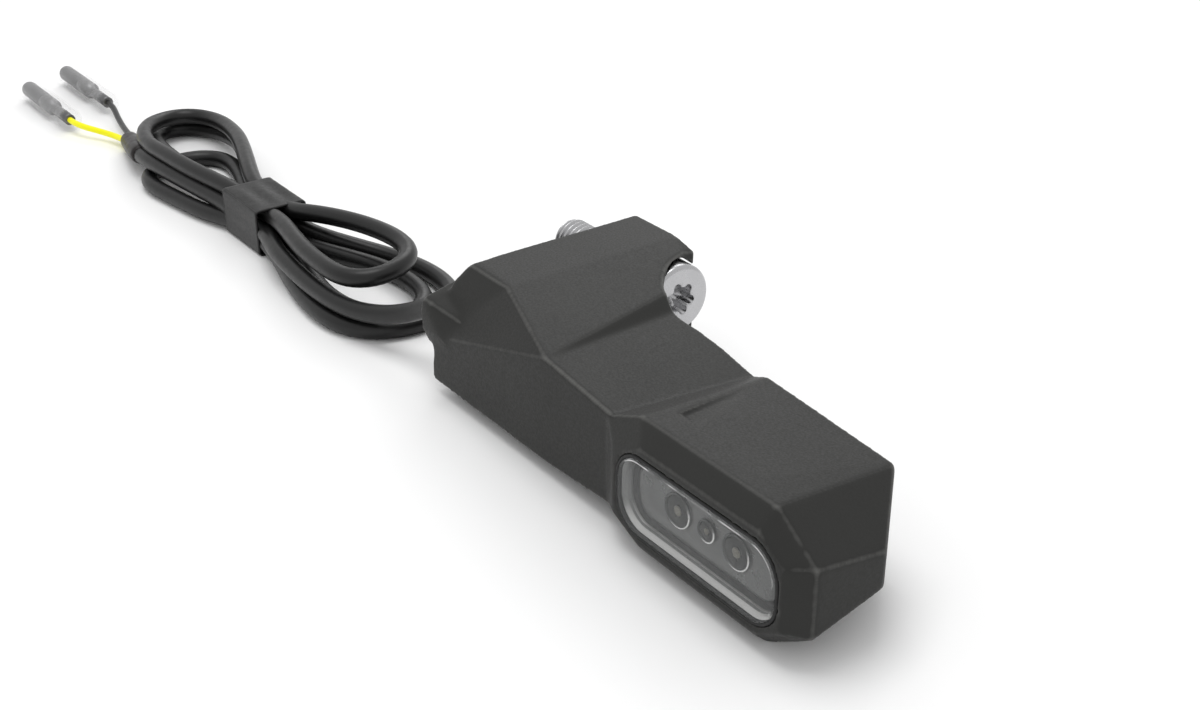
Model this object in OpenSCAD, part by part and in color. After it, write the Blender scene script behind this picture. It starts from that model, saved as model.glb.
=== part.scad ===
// Turn signal indicator for a motorcycle: faceted metal housing with a lamp pod,
// a bolted mounting head, and a two-core lead tied in a hank.
// +X runs from the mounting head to the lamp pod, -Y is where the lens faces, +Z is up.

/* [Lens and lamp] */
// Length of the clear lens
lens_l = 36; // [34:0.5:36.5]
// Height of the clear lens
lens_h = 13.2; // [12:0.2:13.6]
// Corner radius of the clear lens
lens_r = 5.2; // [4:0.2:5.8]
// Thickness of the lens plate
lens_t = 1.5; // [1.2:0.1:1.8]
// Width of the black seal around the lens
seal_w = 0.6; // [0.4:0.1:0.8]
// Diameter of the two large lamp domes
dome_d = 5; // [4.6:0.1:5.4]
// Diameter of the small centre dome
small_dome_d = 3; // [2.6:0.1:3.4]
// Spacing from one dome to the next
dome_pitch = 6.7; // [6.2:0.1:7.2]

/* [Mounting screw] */
// Nominal thread diameter of the screw
screw_d = 8; // [7.6:0.1:8.2]
// Length of the shank under the head
shank_l = 27; // [22:1:30]
// Diameter of the screw head
cap_d = 13; // [12:0.2:13.2]
// Height of the screw head
cap_h = 8; // [7:0.5:8.5]
// Radial clearance around the shank in the head's hole
shank_gap = 0.4; // [0.3:0.05:0.6]

/* [Lead] */
// Diameter of the outer sheath
sheath_d = 3.8; // [3.4:0.1:3.9]
// Diameter of each core
core_d = 1.5; // [1.3:0.1:1.6]
// Height of the tied hank
hank_h = 11.2; // [10.6:0.2:12]
// Width of the tie band along the hank
band_w = 16.5; // [12:0.5:18]

/* [Terminals] */
// Diameter of the bullet barrel
bullet_d = 4.2; // [3.8:0.1:4.4]
// Length of the bullet barrel
bullet_l = 20; // [17:0.5:21]
// Outer diameter of the clear sleeve
sleeve_d = 6.2; // [6:0.1:6.4]
// Length of the clear sleeve
sleeve_l = 35.5; // [34:0.5:37]

/* [Hidden] */
$fn = 64;

// Larger than the housing, for half-space cuts
cut_s = 240;
// Small overrun so that cuts pass cleanly through a face
eps = 0.5;

// Screw position in the housing's own coordinates
screw_y = 38.6;
screw_z = 16.4;
shank_r = 3.8;
thread_gap = 0.2;
seat_x = -63.1;
seat_gap = 0.3;
cap_face_x = seat_x + seat_gap + cap_h;
tip_x = seat_x + seat_gap - shank_l;
tip_chamfer = 0.8;
pocket_gap = 0.4;

// Outline limits of the housing
pod_end_x = 22.85;
rim_y = -2.9;
back_y = 44.2;
arm_back_y = 29.2;
mount_face_x = -77.7;
thread_l = mount_face_x - thread_gap - tip_x;
mid_z = 11.7;
top_z = 24.6;
sill_z = 2.5;

// Raised foot under the mounting head
foot_y = 10;
foot_l = 31;

// Lens plate stands slightly proud of the rim
lens_proud = 0.2;
lens_front_y = rim_y - lens_proud;
lens_back_y = lens_front_y + lens_t;

// Shift that puts the origin at the bottom centre of the solid object
frame_x = -(tip_x + pod_end_x) / 2;
frame_y = -(lens_front_y + screw_y + cap_d / 2) / 2;

// Pod crest and corner points, front crest first
crest = [-16.3, 0.3, 23.35];
shoulder = [-23.35, 0.3, 20.2];
corner = [14.15, 0.5, 23.3];
cheek = [22.85, 0.2, 17.65];
ridge_start = [7.5, 4.1, 23.1];
tail_corner = [12.3, 25, 20.3];

// Head crest points
head_left = [-75.2, 7, 24.6];
head_front = [-63.1, 7, 24.6];
arm_start = [-41.3, 0, 22.35];
head_back = [-63.2, 44.2, 24.6];

// Scallop beside the screw
scallop_c = [-41.9, 44.7];
scallop_r = 15.9;

// Cable boss on the mounting face
boss_c = [-75.2, 4.6, 14.1];
boss_l = 5.3;
lip_r = 3.3;
lip_depth = 4;
channel_gap = 0.15;

// Inner cavity behind the lens
cavity_wall = 0.7;
cavity_back_y = 9;
floor_y = 0;
floor_t = 0.9;
board_t = 1.2;
board_gap = 0.3;
potting_y = 7;
inner_end_x = -20;

// Notch in the pod's top, near the arm
notch_a = [-14.3, 6.2, 22.9];
notch_b = [-17.4, 24.6, 20.4];
notch_c = [-8.8, 5.8, 22.95];
notch_depth = 0.9;

function flip(c) = [[c[0].x, c[0].y, 2 * mid_z - c[0].z], [c[1].x, c[1].y, -c[1].z]];

// Cuts on the upper half of the pod, mirrored for the lower half: [point, outward normal]
pod_upper_cuts = [
    [crest, [0, 0.0625, 1]],
    [crest, [0, -3.05, 3.2]],
    [ridge_start, [0, 0.132, 1]],
    [corner, [0.038, 0.125, 1]],
    [corner, [0.661, 0.165, 1]],
    [corner, [18, -26, 28.9]],
    [shoulder, [-9.76, -32.4, 22.6]],
    [crest, [-85.4, 16, 197.4]]
];
pod_lower_cuts = [
    [flip([corner, corner])[0], [0.661, 0.25, -1]]
];
back_cut = [tail_corner, [2.7, 28.1, 0]];
pod_side_cuts = [
    [cheek, [3.1, -3.65, 0]],
    [[-24.5, 0, 0], [-2.9, -5.1, 0]],
    [tail_corner, [11.8, 10.75, 0]],
    back_cut
];
sill_cut = [[-42, 0, sill_z], [0.06, 0, -1]];
arm_cuts = [
    [arm_start, [0.116, 0.063, 1]],
    sill_cut,
    back_cut
];
head_cuts = [
    [head_front, [0.103, 0, 1]],
    [arm_start, [66, 12.3, 89.8]],
    [head_back, [5.2, 5.8, 20.4]],
    [head_left, [-3.6, 0, 2.5]],
    sill_cut
];
// Blunt boss for the cable: straight sides, and two that fade into the nose
boss_cuts = [
    [[mount_face_x, 0.5, 18.1], [0, -0.23, 1]],
    [[mount_face_x, -0.3, 16.7], [0, -0.96, 0.27]],
    [[mount_face_x, 0, 10.9], [0, -0.93, -0.36]],
    [[mount_face_x, 1.5, 8.6], [0, -0.2, -0.98]],
    [[mount_face_x, 9.6, 19], [0, 0.9, 0.3]],
    [[mount_face_x, 9.6, 10], [0, 0.9, -0.3]],
    [[mount_face_x, 0.5, 18.1], [0.25, -0.23, 1]],
    [[mount_face_x, -0.3, 16.7], [0.27, -0.96, 0.27]]
];
boss_lo = [boss_c.x - boss_l, -0.5, 7];
boss_hi = [-62, 11, 21];
// The nose keeps what lies under either of these two facets
nose_facets = [
    [head_left, [0, -12.55, 7]],
    [head_front, [-72.1, -300.8, 237.3]]
];

// Route of the sheath from the grommet to the hank
lead_pts = [[-80.9, 4.6, 14.1], [-82.4, 4.6, 14.1], [-84.8, 4.6, 13.2], [-87.2, 4.4, 11.7],
            [-89.8, 3.8, 10.1], [-92.6, 2.7, 8.7], [-95.6, 1.6, 7.6], [-99, 0.5, 6.7]];
// Route of the sheath from the hank to its free end
tail_pts = [[-204, -1.6, 5.6], [-210, -1.2, 5], [-215.5, 0, 4.2], [-220.5, 1.3, 3.4],
            [-225.5, 2.6, 2.7]];
// Routes of the two cores from the sheath's end to their terminals
yellow_pts = [[-224, 1.5, 2.4], [-228.5, 2, 2.2], [-233.5, 1.1, 2.1], [-238, -1, 2.4],
              [-241.5, -3, 2.8], [-244.5, -4, 3], [-247.5, -4.3, 3.1], [-251, -4.3, 3.1]];
black_pts = [[-224, 3.1, 2.8], [-228.5, 4, 2.6], [-233.5, 4.8, 2.3], [-239, 5.8, 2.2],
             [-245, 7, 2.5], [-248.5, 7.8, 2.8], [-251.5, 8.3, 3], [-254.5, 8.4, 3.1],
             [-258, 8.4, 3.1]];
shrink_a = [-216.2, 0.17, 4.1];
shrink_b = [-225.2, 2.52, 2.75];

// Hank outline: [x, y, radius] of the rounded lobes
left_lobes = [[-222, 15, 10.2], [-198, 3, 9], [-158, 6.2, 5.4]];
right_lobes = [[-122, 13, 11.5], [-110, 13.5, 11.5], [-104, 4, 9.8], [-118, 2, 7.8],
               [-158, 6.2, 5.4]];
right_rise = 2;
band_c = [-158, 6.2, 0];
band_t = 0.5;

// Terminal axes: wire end of each terminal
yellow_end = [-247.5, -4.3, 3.1];
black_end = [-254.5, 8.4, 3.1];
crimp_d = 3.6;
crimp_l = 8;
neck_d = 2.6;
neck_l = 3;
sleeve_wall = 0.45;

module seat() {
    translate([frame_x, frame_y, 0])
        children();
}

// Everything on the side of the plane through p that the normal n points to
module beyond(p, n) {
    translate(p)
        rotate([0, acos(n.z / norm(n)), atan2(n.y, n.x)])
            translate([-cut_s / 2, -cut_s / 2, 0])
                cube([cut_s, cut_s, cut_s]);
}

// Box from corner lo to corner hi, less the half-spaces in cuts
module facet_block(lo, hi, cuts) {
    difference() {
        translate(lo)
            cube(hi - lo);
        for (c = cuts)
            beyond(c[0], c[1]);
    }
}

// Cylinder along +X from point p
module rod_x(p, l, r) {
    translate(p)
        rotate([0, 90, 0])
            cylinder(h = l, r = r);
}

// Plate facing -Y, centred on the pod, from y0 to y0 + t
module plate(l, h, r, y0, t) {
    translate([0, y0 + t, mid_z])
        rotate([90, 0, 0])
            linear_extrude(t)
                rounded(l, h, r);
}

module rounded(l, h, r) {
    union() {
        square([l - 2 * r, h], center = true);
        square([l, h - 2 * r], center = true);
        for (sx = [-1, 1], sy = [-1, 1])
            translate([sx * (l / 2 - r), sy * (h / 2 - r)])
                circle(r = r);
    }
}

module pod() {
    facet_block([-26, rim_y, 0], [pod_end_x, arm_back_y, 2 * mid_z],
        concat(pod_upper_cuts, [for (c = pod_upper_cuts) flip(c)], pod_lower_cuts, pod_side_cuts));
}

module notch() {
    low = notch_a - [0, 0, notch_depth];
    n = cross(notch_b - low, notch_c - low);
    intersection() {
        translate([0, 0, mid_z])
            linear_extrude(2 * mid_z)
                polygon([[notch_a.x, notch_a.y], [notch_b.x, notch_b.y], [notch_c.x, notch_c.y]]);
        beyond(low, n.z > 0 ? n : -n);
    }
}

module arm() {
    facet_block([-64, 0, sill_z], [-20, arm_back_y, top_z], arm_cuts);
}

module head() {
    facet_block([mount_face_x, 0, sill_z], [-30, back_y, top_z], head_cuts);
    translate([mount_face_x, foot_y, 0])
        cube([foot_l, back_y - foot_y, sill_z + eps]);
}

module nose_cut() {
    intersection() {
        beyond(nose_facets[0][0], nose_facets[0][1]);
        beyond(nose_facets[1][0], nose_facets[1][1]);
        translate([mount_face_x - eps, -eps, 0])
            cube([arm_start.x - mount_face_x, 12, top_z + eps]);
    }
}

module boss() {
    facet_block(boss_lo, boss_hi, boss_cuts);
}

module cavity() {
    plate(lens_l + 2 * seal_w, lens_h + 2 * seal_w, lens_r + seal_w, lens_front_y - eps,
        lens_back_y - lens_front_y + 0.3 + eps);
    plate(lens_l - 2 * cavity_wall, lens_h - 2 * cavity_wall, lens_r - cavity_wall,
        lens_back_y, cavity_back_y - lens_back_y);
}

module housing() {
    color([0.25, 0.25, 0.25])
        seat()
            difference() {
                union() {
                    difference() {
                        union() {
                            pod();
                            difference() {
                                union() {
                                    arm();
                                    head();
                                }
                                nose_cut();
                            }
                        }
                        translate([scallop_c.x, scallop_c.y, -eps])
                            cylinder(h = top_z + 2 * eps, r = scallop_r);
                        notch();
                    }
                    boss();
                }
                cavity();
                rod_x([boss_c.x - boss_l - eps, boss_c.y, boss_c.z],
                    -15 - boss_c.x + boss_l, sheath_d / 2 + channel_gap);
                rod_x([boss_c.x - boss_l - eps, boss_c.y, boss_c.z], lip_depth + eps, lip_r);
                rod_x([mount_face_x - eps, screw_y, screw_z], cut_s / 6,
                    screw_d / 2 + shank_gap);
                rod_x([seat_x, screw_y, screw_z], cut_s / 6, cap_d / 2 + pocket_gap);
            }
}

module lens() {
    color([0.9, 0.95, 1, 0.4])
        seat()
            plate(lens_l, lens_h, lens_r, lens_front_y, lens_t);
}

module lens_seal() {
    color([0.05, 0.05, 0.05])
        seat()
            difference() {
                plate(lens_l + 2 * seal_w, lens_h + 2 * seal_w, lens_r + seal_w,
                    rim_y + 0.2, lens_back_y - rim_y + 0.1);
                plate(lens_l, lens_h, lens_r, rim_y, lens_back_y - rim_y);
                plate(lens_l - 2 * cavity_wall, lens_h - 2 * cavity_wall, lens_r - cavity_wall,
                    rim_y, cavity_back_y);
            }
}

// Slots of the three lamps: x offset, dome radius
lamps = [[-dome_pitch, dome_d / 2], [dome_pitch, dome_d / 2], [0, small_dome_d / 2]];
tray_l = lens_l - 2 * cavity_wall - 0.2;
tray_h = lens_h - 2 * cavity_wall - 0.2;
tray_r = lens_r - cavity_wall - 0.1;
tray_wall = 0.9;
bezel_w = 0.45;
bezel_t = 0.35;

// Cylinder facing -Y around a lamp axis, from y0 to y0 + l
module lamp_rod(x, y0, l, r) {
    translate([x, y0 + l, mid_z])
        rotate([90, 0, 0])
            cylinder(h = l, r = r);
}

module reflector() {
    color([0.75, 0.77, 0.78])
        seat()
            difference() {
                plate(tray_l, tray_h, tray_r, lens_back_y + 0.4, floor_y + floor_t - lens_back_y - 0.4);
                plate(tray_l - 2 * tray_wall, tray_h - 2 * tray_wall, tray_r - tray_wall,
                    lens_back_y, floor_y - lens_back_y);
                for (p = lamps)
                    lamp_rod(p.x, floor_y - eps, floor_t + 2 * eps, p[1] + 0.1);
            }
}

module bezel(p) {
    difference() {
        lamp_rod(p.x, floor_y - bezel_t, bezel_t, p[1] + 0.1 + bezel_w);
        lamp_rod(p.x, floor_y - bezel_t - eps, bezel_t + 2 * eps, p[1] + 0.1);
    }
}

module bezel_left() {
    color("silver")
        seat()
            bezel(lamps[0]);
}

module bezel_right() {
    color("silver")
        seat()
            bezel(lamps[1]);
}

module bezel_center() {
    color("silver")
        seat()
            bezel(lamps[2]);
}

// Lamp with a shallow dome that stops short of the lens
dome_rise = 0.9;
dome_inset = 0.15;
flange_t = 1.1;
module led(p) {
    dome_base = p[1] - dome_inset;
    dome_rad = (dome_base * dome_base + dome_rise * dome_rise) / (2 * dome_rise);
    lamp_rod(p.x, floor_y, floor_t, p[1]);
    intersection() {
        translate([p.x, floor_y - dome_rise + dome_rad, mid_z])
            sphere(r = dome_rad);
        lamp_rod(p.x, floor_y - 2 * dome_rise, 2 * dome_rise + dome_inset / 2, p[1] + eps);
    }
    lamp_rod(p.x, floor_y + floor_t, flange_t, p[1] + 0.4);
}

module led_left() {
    color([1, 0.98, 0.9, 0.7])
        seat()
            led(lamps[0]);
}

module led_right() {
    color([1, 0.98, 0.9, 0.7])
        seat()
            led(lamps[1]);
}

module led_center() {
    color([1, 0.98, 0.9, 0.7])
        seat()
            led(lamps[2]);
}

module led_board() {
    color([0.05, 0.35, 0.15])
        seat()
            plate(tray_l - 2 * board_gap, tray_h - 2 * board_gap, tray_r - board_gap,
                floor_y + floor_t + flange_t, board_t);
}

board_back_y = floor_y + floor_t + flange_t + board_t;
chip = [4.9, 1.1, 3.9];
resistor = [3.2, 0.6, 1.6];

module driver_chip() {
    color([0.1, 0.1, 0.1])
        seat()
            translate([3 - chip.x / 2, board_back_y, 8.4 - chip.z / 2])
                cube(chip);
}

module chip_resistor(x) {
    translate([x - resistor.x / 2, board_back_y, mid_z - 3.6 - resistor.z / 2])
        cube(resistor);
}

module resistor_left() {
    color([0.12, 0.12, 0.13])
        seat()
            chip_resistor(-7);
}

module resistor_right() {
    color([0.12, 0.12, 0.13])
        seat()
            chip_resistor(11);
}

// Core inside the pod, from the sheath's end to its pad on the board
core_split = 0.85;
module core_inner(dz, x_pad) {
    translate([inner_end_x, boss_c.y, boss_c.z + dz])
        rotate([0, 90, 0])
            cylinder(h = x_pad - inner_end_x, d = core_d);
}

module core_inner_yellow() {
    color([0.9, 0.75, 0.1])
        seat()
            core_inner(core_split, -9);
}

module core_inner_black() {
    color([0.06, 0.06, 0.06])
        seat()
            core_inner(-core_split, -6);
}

// Resin behind the board, moulded around the parts on its back
module potting() {
    color([0.15, 0.15, 0.16])
        seat()
            plate(tray_l, tray_h, tray_r, potting_y, cavity_back_y - potting_y);
}

module sheath_inner() {
    color([0.08, 0.08, 0.08])
        seat()
            rod_x([lead_pts[0].x, boss_c.y, boss_c.z], inner_end_x - lead_pts[0].x, sheath_d / 2);
}

grommet_lip = 0.4;
module grommet() {
    color([0.05, 0.05, 0.05])
        seat()
            difference() {
                union() {
                    rod_x([boss_c.x - boss_l - grommet_lip, boss_c.y, boss_c.z],
                        grommet_lip, lip_r + 0.5);
                    rod_x([boss_c.x - boss_l, boss_c.y, boss_c.z], lip_depth, lip_r);
                }
                rod_x([boss_c.x - boss_l - 2 * eps, boss_c.y, boss_c.z], lip_depth + 4 * eps,
                    sheath_d / 2);
            }
}

star_r = 2.55;
star_lobe_r = 0.85;
star_depth = 3.6;
cap_edge = 0.7;

module mount_screw() {
    color([0.8, 0.8, 0.82])
        seat()
            difference() {
                translate([tip_x, screw_y, screw_z])
                    rotate([0, 90, 0])
                        rotate_extrude()
                            polygon([[0, 0], [screw_d / 2 - tip_chamfer, 0],
                                [screw_d / 2, tip_chamfer], [screw_d / 2, thread_l],
                                [shank_r, thread_l], [shank_r, shank_l],
                                [cap_d / 2 - 0.3, shank_l], [cap_d / 2, shank_l + 0.3],
                                [cap_d / 2, shank_l + cap_h - cap_edge],
                                [cap_d / 2 - cap_edge * 0.3, shank_l + cap_h - cap_edge * 0.3],
                                [cap_d / 2 - cap_edge, shank_l + cap_h], [0, shank_l + cap_h]]);
                rod_x([cap_face_x - star_depth, screw_y, screw_z], star_depth + eps, star_r);
                for (a = [0:60:300])
                    rod_x([cap_face_x - star_depth, screw_y + star_r * cos(a),
                        screw_z + star_r * sin(a)], star_depth + eps, star_lobe_r);
            }
}

// Tube swept along a list of points
function unit(v) = v / norm(v);
function heading(pts, i) = unit(pts[min(i + 1, len(pts) - 1)] - pts[max(i - 1, 0)]);
function side(t) = unit(cross(t, [0, 0, 1]));
function ring(c, t, r, n) = [for (k = [0:n - 1])
    c + r * (cos(360 * k / n) * side(t) + sin(360 * k / n) * cross(side(t), t))];
function tube_faces(m, n) = concat(
    [[for (k = [0:n - 1]) k]],
    [for (i = [0:m - 2], k = [0:n - 1])
        [i * n + k, (i + 1) * n + k, (i + 1) * n + (k + 1) % n, i * n + (k + 1) % n]],
    [[for (k = [n - 1:-1:0]) (m - 1) * n + k]]);

module tube(pts, r) {
    n = 8;
    polyhedron(
        points = [for (i = [0:len(pts) - 1]) each ring(pts[i], heading(pts, i), r, n)],
        faces = tube_faces(len(pts), n));
}

module sheath_lead() {
    color([0.1, 0.1, 0.1])
        seat()
            tube(lead_pts, sheath_d / 2);
}

module sheath_tail() {
    color([0.1, 0.1, 0.1])
        seat()
            tube(tail_pts, sheath_d / 2);
}

module lobes(list) {
    hull()
        for (p = list)
            translate([p.x, p.y])
                circle(r = p[2], $fn = 32);
}

band_in_w = 10.8;
band_out_h = 10.4;
module band_ring() {
    difference() {
        translate(band_c + [-band_w / 2, -band_in_w / 2 - band_t, 0])
            cube([band_w, band_in_w + 2 * band_t, band_out_h]);
        translate(band_c + [-band_w / 2 - eps, -band_in_w / 2, band_t])
            cube([band_w + 2 * eps, band_in_w, band_out_h - 2 * band_t]);
    }
}

module hank() {
    color([0.12, 0.12, 0.12])
        seat()
            difference() {
                union() {
                    linear_extrude(hank_h)
                        lobes(left_lobes);
                    linear_extrude(hank_h + right_rise)
                        lobes(right_lobes);
                }
                difference() {
                    translate(band_c + [-band_w / 2, -cut_s / 4, -eps])
                        cube([band_w, cut_s / 2, hank_h + right_rise + 2 * eps]);
                    translate(band_c + [-band_w, -band_in_w / 2, band_t])
                        cube([2 * band_w, band_in_w, band_out_h - 2 * band_t]);
                }
            }
}

module tie_band() {
    color([0.06, 0.06, 0.06])
        seat()
            band_ring();
}

// Shrink sleeve over the sheath's free end
shrink_t = 0.35;
module heat_shrink() {
    run = shrink_b - shrink_a;
    color([0.07, 0.07, 0.07])
        seat()
            translate(shrink_a)
                rotate([0, acos(run.z / norm(run)), atan2(run.y, run.x)])
                    difference() {
                        cylinder(h = norm(run), r = sheath_d / 2 + shrink_t);
                        translate([0, 0, -eps])
                            cylinder(h = norm(run) + 2 * eps, r = sheath_d / 2 - 0.1);
                    }
}

module wire_yellow() {
    color([0.95, 0.8, 0.1])
        seat()
            tube(yellow_pts, core_d / 2);
}

module wire_black() {
    color([0.06, 0.06, 0.06])
        seat()
            tube(black_pts, core_d / 2);
}

// Bullet terminal: crimp, neck and round-nosed barrel, running along -X from p
module terminal(p) {
    nose = 1.2;
    translate(p)
        rotate([0, -90, 0])
            rotate_extrude()
                polygon([[core_d / 2 + 0.05, 0], [crimp_d / 2, 0], [crimp_d / 2, crimp_l],
                    [neck_d / 2, crimp_l + 0.6], [neck_d / 2, crimp_l + neck_l],
                    [bullet_d / 2, crimp_l + neck_l + 0.6],
                    [bullet_d / 2, crimp_l + neck_l + bullet_l - nose],
                    [bullet_d / 2 - nose * 0.8, crimp_l + neck_l + bullet_l],
                    [0, crimp_l + neck_l + bullet_l], [0, crimp_l], [core_d / 2 + 0.05, crimp_l]]);
}

module terminal_yellow() {
    color([0.7, 0.7, 0.72])
        seat()
            terminal(yellow_end);
}

module terminal_black() {
    color([0.7, 0.7, 0.72])
        seat()
            terminal(black_end);
}

module sleeve(p) {
    translate(p)
        rotate([0, -90, 0])
            difference() {
                cylinder(h = sleeve_l, d = sleeve_d);
                translate([0, 0, -eps])
                    cylinder(h = sleeve_l + 2 * eps, d = sleeve_d - 2 * sleeve_wall);
            }
}

module sleeve_yellow() {
    color([0.9, 0.9, 0.95, 0.3])
        seat()
            sleeve(yellow_end);
}

module sleeve_black() {
    color([0.9, 0.9, 0.95, 0.3])
        seat()
            sleeve(black_end);
}

housing();
lens();
lens_seal();
reflector();
bezel_left();
bezel_right();
bezel_center();
led_left();
led_right();
led_center();
led_board();
driver_chip();
resistor_left();
resistor_right();
potting();
core_inner_yellow();
core_inner_black();
sheath_inner();
grommet();
mount_screw();
sheath_lead();
hank();
tie_band();
sheath_tail();
heat_shrink();
wire_yellow();
wire_black();
terminal_yellow();
terminal_black();
sleeve_yellow();
sleeve_black();
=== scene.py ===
import math
import bmesh
import bpy
import numpy as np
from mathutils import Euler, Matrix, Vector, noise


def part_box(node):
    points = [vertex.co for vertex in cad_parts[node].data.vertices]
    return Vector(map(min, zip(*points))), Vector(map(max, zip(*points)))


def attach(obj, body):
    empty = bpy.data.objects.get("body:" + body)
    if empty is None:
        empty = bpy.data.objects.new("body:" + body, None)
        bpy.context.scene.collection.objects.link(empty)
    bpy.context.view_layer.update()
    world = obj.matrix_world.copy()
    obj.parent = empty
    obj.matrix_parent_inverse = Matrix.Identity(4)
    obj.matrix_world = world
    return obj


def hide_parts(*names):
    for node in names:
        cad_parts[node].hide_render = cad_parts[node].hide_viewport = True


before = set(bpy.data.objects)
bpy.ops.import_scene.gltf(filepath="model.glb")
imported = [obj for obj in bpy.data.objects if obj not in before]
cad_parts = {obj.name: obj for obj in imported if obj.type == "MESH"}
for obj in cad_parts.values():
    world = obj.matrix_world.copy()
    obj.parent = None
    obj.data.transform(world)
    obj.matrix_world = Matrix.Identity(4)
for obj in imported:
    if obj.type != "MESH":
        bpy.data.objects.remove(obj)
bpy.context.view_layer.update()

MM = 0.001
AXIS_R = 0.02  # mm; caps of the turned shapes end this close to their axis
scene = bpy.context.scene

# The pod's own axes, in mm: x from the middle of the lens to the pod's free end,
# y from the arm's front to its back, z up from the table
POD_END_X, LENS_FRONT_Y, MID_Z = 22.85, -3.1, 11.7
ORIGIN = Vector((
    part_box("housing")[1][0] - POD_END_X * MM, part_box("lens")[0][1] - LENS_FRONT_Y * MM, 0.0))
TO_FREE_END, TO_BACK, TO_LEAD = Vector((1, 0, 0)), Vector((0, 1, 0)), Vector((-1, 0, 0))


def at(x, y, z):
    """Row-frame point in metres from the pod's own millimetres."""
    return ORIGIN + Vector((x, y, z)) * MM


# ---------------------------------------------------------------- camera
CAMERA_PLACE = (154.1, -131.7, 148.0)
CAMERA_TILT, CAMERA_TURN = 62.04, 53.886  # degrees

camera_data = bpy.data.cameras.new("camera")
camera_data.lens = 50
camera_data.sensor_width = 36
camera_data.sensor_fit = "HORIZONTAL"
camera_data.clip_start = 0.01
camera_data.clip_end = 20
camera = bpy.data.objects.new("camera", camera_data)
scene.collection.objects.link(camera)
camera.location = at(*CAMERA_PLACE)
camera.rotation_euler = (math.radians(CAMERA_TILT), 0, math.radians(CAMERA_TURN))
scene.camera = camera


# ---------------------------------------------------------------- helpers
def add(name, mesh, body, slot, *nodes):
    """Shows a mesh or curve as a piece that rides on a body and stands for CAD nodes."""
    piece = bpy.data.objects.new(name, mesh)
    scene.collection.objects.link(piece)
    if hasattr(mesh, "polygons"):
        mesh.polygons.foreach_set("use_smooth", [True] * len(mesh.polygons))
    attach(piece, body)
    if nodes:
        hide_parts(*nodes)
    return piece


def paint(piece, *materials):
    slots = piece.data.materials
    slots.clear()
    for material in materials:
        slots.append(material)


def mesh_of(name, points, faces):
    """Mesh from points and faces; a closed one is turned the right way out."""
    mesh = bpy.data.meshes.new(name)
    mesh.from_pydata([tuple(p) for p in points], [], faces)
    mesh.validate()
    bm = bmesh.new()
    bm.from_mesh(mesh)
    if all(edge.is_manifold for edge in bm.edges) and bm.calc_volume(signed=True) < 0:
        bmesh.ops.reverse_faces(bm, faces=bm.faces)
        bm.to_mesh(mesh)
    bm.free()
    mesh.update()
    return mesh


def grid_faces(rings, count, flip=False):
    """Faces between rings of points that each close on themselves."""
    faces = []
    for i in range(rings - 1):
        for k in range(count):
            a, b = i * count + k, i * count + (k + 1) % count
            quad = (a, b, b + count, a + count)
            faces.append(quad[::-1] if flip else quad)
    return faces


def end_caps(rings, count, flip=False):
    """One face over the first ring and one over the last."""
    first, last = tuple(range(count)), tuple(range((rings - 1) * count, rings * count))
    return [first, last[::-1]] if flip else [first[::-1], last]


def turned_points(centre, direction, profile, count, radius=None):
    """A ring of points round the axis for each (along, radius) of the profile, in mm."""
    w = Vector(direction).normalized()
    u = w.orthogonal().normalized()
    v = w.cross(u)
    points = []
    for i, (along, r) in enumerate(profile):
        for k in range(count):
            a = 2 * math.pi * k / count
            reach = radius(i, along, r, a) if radius else r
            points.append(centre + (w * along + (u * math.cos(a) + v * math.sin(a)) * reach) * MM)
    return points


def lathe(name, centre, direction, profile, count=48, radius=None):
    """Solid of revolution. radius(ring, along, r, angle) can make it out of round."""
    points = turned_points(centre, direction, profile, count, radius)
    rings = len(profile)
    return mesh_of(name, points, grid_faces(rings, count) + end_caps(rings, count))


def ring_lathe(name, centre, direction, profile, count=48):
    """Tube of revolution; the profile is a closed loop."""
    points = turned_points(centre, direction, profile, count)
    faces = grid_faces(len(profile), count)
    last = (len(profile) - 1) * count
    for k in range(count):
        after = (k + 1) % count
        faces.append((last + k, last + after, after, k))
    return mesh_of(name, points, faces)


def quarter(steps, first=0):
    """Angles over a quarter turn, in equal steps."""
    return [math.pi / 2 * k / steps for k in range(first, steps + 1)]


def catmull(points, step):
    """Smooth line through the points (centripetal Catmull-Rom), resampled at an even step."""
    p = np.array(points, float)
    p = np.vstack([2 * p[0] - p[1], p, 2 * p[-1] - p[-2]])
    out = []
    for i in range(1, len(p) - 2):
        p0, p1, p2, p3 = p[i - 1], p[i], p[i + 1], p[i + 2]
        d1 = math.sqrt(np.linalg.norm(p1 - p0))
        d2 = math.sqrt(np.linalg.norm(p2 - p1))
        d3 = math.sqrt(np.linalg.norm(p3 - p2))
        m1 = (p2 - p1) + d2 * ((p1 - p0) / d1 - (p2 - p0) / (d1 + d2))
        m2 = (p2 - p1) + d2 * ((p3 - p2) / d3 - (p3 - p1) / (d2 + d3))
        for t in np.linspace(0, 1, 16, endpoint=False):
            out.append(
                (2 * t**3 - 3 * t**2 + 1) * p1 + (t**3 - 2 * t**2 + t) * m1
                + (-2 * t**3 + 3 * t**2) * p2 + (t**3 - t**2) * m2)
    out.append(p[-2])
    out = np.array(out)
    s = np.concatenate([[0], np.cumsum(np.linalg.norm(np.diff(out, axis=0), axis=1))])
    n = max(8, int(round(s[-1] / step)))
    t = np.linspace(0, s[-1], n + 1)
    return np.stack([np.interp(t, s, out[:, k]) for k in range(3)], axis=1)


def relaxed(line, rounds):
    """Evens out the bends of a line and keeps its two ends."""
    line = line.copy()
    for _ in range(rounds):
        line[2:-2] += 0.5 * ((line[1:-3] + line[3:-1]) / 2 - line[2:-2])
    return line


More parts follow.
